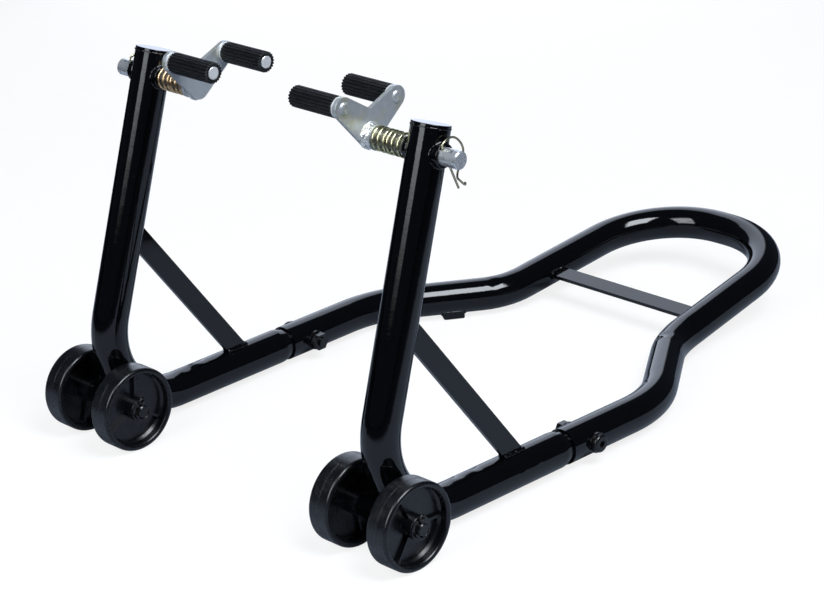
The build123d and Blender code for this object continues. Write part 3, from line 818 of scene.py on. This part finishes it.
def add_spring(side_name, material):
    """The cradle spring, a little unevenly wound."""
    side = SIDES[side_name]
    node = "spring_" + side_name
    low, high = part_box(node)
    wire = SPRING_WIRE_RADIUS
    mean = half_height_of(node) - wire
    inner_x, outer_x = (low.x, high.x) if side > 0 else (high.x, low.x)
    length = abs(outer_x - inner_x)
    path = []
    for step in range(SPRING_STEPS + 1):
        share = step / SPRING_STEPS
        eased = share - SPRING_UNEVENNESS * math.sin(4 * math.pi * share) / math.pi
        turn = side * FULL_TURN * SPRING_TURNS * share
        x = inner_x + side * (wire + (length - 2 * wire) * eased)
        path.append(point_round(shaft, x, mean, turn))
    points, faces = sweep(path, lambda index, turn: wire, BAR_SIDES, False)
    piece = make_piece("coil_" + node, points, faces, material, "frame")
    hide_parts(node)
    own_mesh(piece)


# ----------------------------------------------------------------- edge breaks

def soften_edges(width_mm, *names):
    """Breaks the sharp edges of flat CAD pieces with a small bevel."""
    for name in names:
        node = nodes[name]
        weld = node.modifiers.new("join", "WELD")
        weld.merge_threshold = 0.01 * MM
        bevel = node.modifiers.new("edges", "BEVEL")
        bevel.width = width_mm * MM
        bevel.segments = 3
        bevel.limit_method = "ANGLE"
        bevel.angle_limit = math.radians(40)


# ----------------------------------------------------------------------- stage

FLOOR_REACH = 6.0
FLOOR_DROP = 0.1 * MM
FLOOR_GLOW = 1.03
FLOOR_GLOW_SHARE = 0.8
TABLE_RADIUS = 0.75
TABLE_FADE = 0.35
TABLE_COLOR = (0.29, 0.325, 0.385)
BEYOND_TABLE_COLOR = (0.02, 0.02, 0.025)

# Angles are in degrees; a fade is the share of the width or height that dims
PANELS = [
    {
        "name": "left_softbox", "azimuth": -89, "elevation": 31, "distance": 2.6,
        "width": 1.4, "height": 2.5, "radiance": 6.5, "tint": (0.94, 1.0, 1.06),
        "side_fade": 0.2, "end_fade": 0.6,
    },
    {
        "name": "top_softbox", "azimuth": -9, "elevation": 56, "distance": 2.6,
        "width": 1.6, "height": 1.8, "radiance": 12.5, "tint": (0.94, 1.0, 1.08),
        "side_fade": 0.3, "end_fade": 0.3,
    },
    {
        "name": "backdrop", "azimuth": 137, "elevation": 17, "distance": 1.55,
        "width": 1.4, "height": 1.5, "radiance": 1.4, "tint": (0.9, 1.0, 1.2),
        "side_fade": 0.3, "end_fade": 0.1,
    },
]

WORLD_COLOR = (0.03, 0.037, 0.055)

CAMERA_AZIMUTH = 45.42
CAMERA_ELEVATION = 22.04
CAMERA_ROLL = -2.02
CAMERA_DISTANCE = 2.3927
CAMERA_LENS_MM = 108.1
CAMERA_SENSOR_MM = 36.0
CAMERA_AIM_OFFSET = Vector((-0.01006, -0.10535, -0.0895))


def floor_shader():
    """Near white to the camera, and a mid-grey table in reflections."""
    material, shade = new_shader("pale_floor")
    from_camera = shade.node("ShaderNodeLightPath").outputs["Is Camera Ray"]
    grain = shade.span(shade.grain(30.0, detail=3.0), 0.2, 0.8)
    pale = shade.mix(grain, (0.80, 0.80, 0.80), (0.83, 0.83, 0.83))
    distance = shade.vector("LENGTH", shade.objects, output="Value")
    far = shade.span(distance, TABLE_RADIUS, TABLE_RADIUS + TABLE_FADE)
    table = shade.mix(far, TABLE_COLOR, BEYOND_TABLE_COLOR)
    seen = shade.node("ShaderNodeBsdfDiffuse", {"Color": pale}).outputs[0]
    hidden = shade.node("ShaderNodeBsdfDiffuse", {"Color": table}).outputs[0]
    glow = shade.glow((1.0, 1.0, 1.0), FLOOR_GLOW)
    lifted = shade.node("ShaderNodeMixShader", {0: FLOOR_GLOW_SHARE, 1: seen, 2: glow}).outputs[0]
    shade.show(shade.node("ShaderNodeMixShader", {0: from_camera, 1: hidden, 2: lifted}).outputs[0])
    return material


def add_floor():
    level = cad_low.z - FLOOR_DROP
    corners = []
    for x, y in ((-1, -1), (1, -1), (1, 1), (-1, 1)):
        corners.append((x * FLOOR_REACH, y * FLOOR_REACH, level))
    mesh = bpy.data.meshes.new("floor")
    mesh.from_pydata(corners, [], [(0, 1, 2, 3)])
    mesh.materials.append(floor_shader())
    link("floor", mesh)


def panel_shader(name, radiance, tint, side_fade, end_fade):
    """A glow that fades towards the panel's sides and ends."""
    material, shade = new_shader(name + "_light")
    parts = shade.split(shade.node("ShaderNodeTexCoord").outputs["UV"])
    fades = []
    for axis, share in ((0, side_fade), (1, end_fade)):
        off = shade.math("ABSOLUTE", shade.math("SUBTRACT", parts[axis], 0.5))
        fades.append(shade.span(off, 0.5, 0.5 - share / 2))
    strength = shade.math("MULTIPLY", shade.math("MULTIPLY", *fades), radiance)
    shade.show(shade.glow(tint, strength))
    return material


def add_panel(name, azimuth, elevation, distance, width, height, **light):
    """A glowing panel that faces the stand. It lights and reflects, unseen by the camera."""
    heading, rise = math.radians(azimuth), math.radians(elevation)
    toward = Vector((
        math.cos(heading) * math.cos(rise),
        math.sin(heading) * math.cos(rise),
        math.sin(rise),
    ))
    across = Vector((0, 0, 1)).cross(toward).normalized()
    up = toward.cross(across)
    spot = (cad_low + cad_high) / 2 + toward * distance
    corners = []
    for right, top in ((-1, -1), (1, -1), (1, 1), (-1, 1)):
        corners.append(spot + across * (right * width / 2) + up * (top * height / 2))
    mesh = bpy.data.meshes.new(name)
    mesh.from_pydata([tuple(corner) for corner in corners], [], [(0, 1, 2, 3)])
    layer = mesh.uv_layers.new(name="panel")
    for loop, place in zip(layer.data, ((0, 0), (1, 0), (1, 1), (0, 1))):
        loop.uv = place
    mesh.materials.append(panel_shader(name, **light))
    panel = link(name, mesh)
    panel.visible_camera = False
    panel.visible_shadow = False


def set_world():
    """White to the camera, nearly black to everything else, as in a dark studio."""
    world = bpy.data.worlds.new("studio")
    bpy.context.scene.world = world
    world.use_nodes = True
    tree = world.node_tree
    tree.nodes.clear()
    rays = tree.nodes.new("ShaderNodeLightPath")
    pale = tree.nodes.new("ShaderNodeBackground")
    pale.inputs["Color"].default_value = (1.0, 1.0, 1.0, 1.0)
    dark = tree.nodes.new("ShaderNodeBackground")
    dark.inputs["Color"].default_value = (*WORLD_COLOR, 1.0)
    mix = tree.nodes.new("ShaderNodeMixShader")
    output = tree.nodes.new("ShaderNodeOutputWorld")
    tree.links.new(rays.outputs["Is Camera Ray"], mix.inputs[0])
    tree.links.new(dark.outputs[0], mix.inputs[1])
    tree.links.new(pale.outputs[0], mix.inputs[2])
    tree.links.new(mix.outputs[0], output.inputs["Surface"])


def add_camera():
    azimuth = math.radians(CAMERA_AZIMUTH)
    elevation = math.radians(CAMERA_ELEVATION)
    roll = math.radians(CAMERA_ROLL)
    aim = (cad_low + cad_high) / 2 + CAMERA_AIM_OFFSET
    back = Vector((
        math.sin(azimuth) * math.cos(elevation),
        -math.cos(azimuth) * math.cos(elevation),
        math.sin(elevation),
    ))
    right = Vector((0, 0, 1)).cross(back).normalized()
    up = back.cross(right)
    tilted_right = right * math.cos(roll) + up * math.sin(roll)
    tilted_up = up * math.cos(roll) - right * math.sin(roll)
    turn = Matrix((tilted_right, tilted_up, back)).transposed()
    data = bpy.data.cameras.new("camera")
    data.sensor_width = CAMERA_SENSOR_MM
    data.lens = CAMERA_LENS_MM
    data.clip_start = 0.05
    data.clip_end = 60.0
    camera = link("camera", data)
    camera.matrix_world = Matrix.Translation(aim + back * CAMERA_DISTANCE) @ turn.to_4x4()
    bpy.context.scene.camera = camera


paint_nodes()
add_bushing_welds()
add_foot_welds()
add_boss_welds()
add_cap_welds()
lump_welds()
for side_name in SIDES:
    add_sleeve(side_name, "front")
    add_sleeve(side_name, "rear")
add_spring("right", GOLD)
add_spring("left", COPPER)
soften_edges(0.45, "brace_right", "brace_left", "cross_bar")
soften_edges(0.4, "cradle_plate_right", "cradle_plate_left")

add_floor()
for panel_settings in PANELS:
    add_panel(**panel_settings)
set_world()
add_camera()

scene = bpy.context.scene
scene.view_settings.view_transform = "Standard"
scene.cycles.use_denoising = True
scene.cycles.max_bounces = 8
scene.cycles.sample_clamp_indirect = 4.0
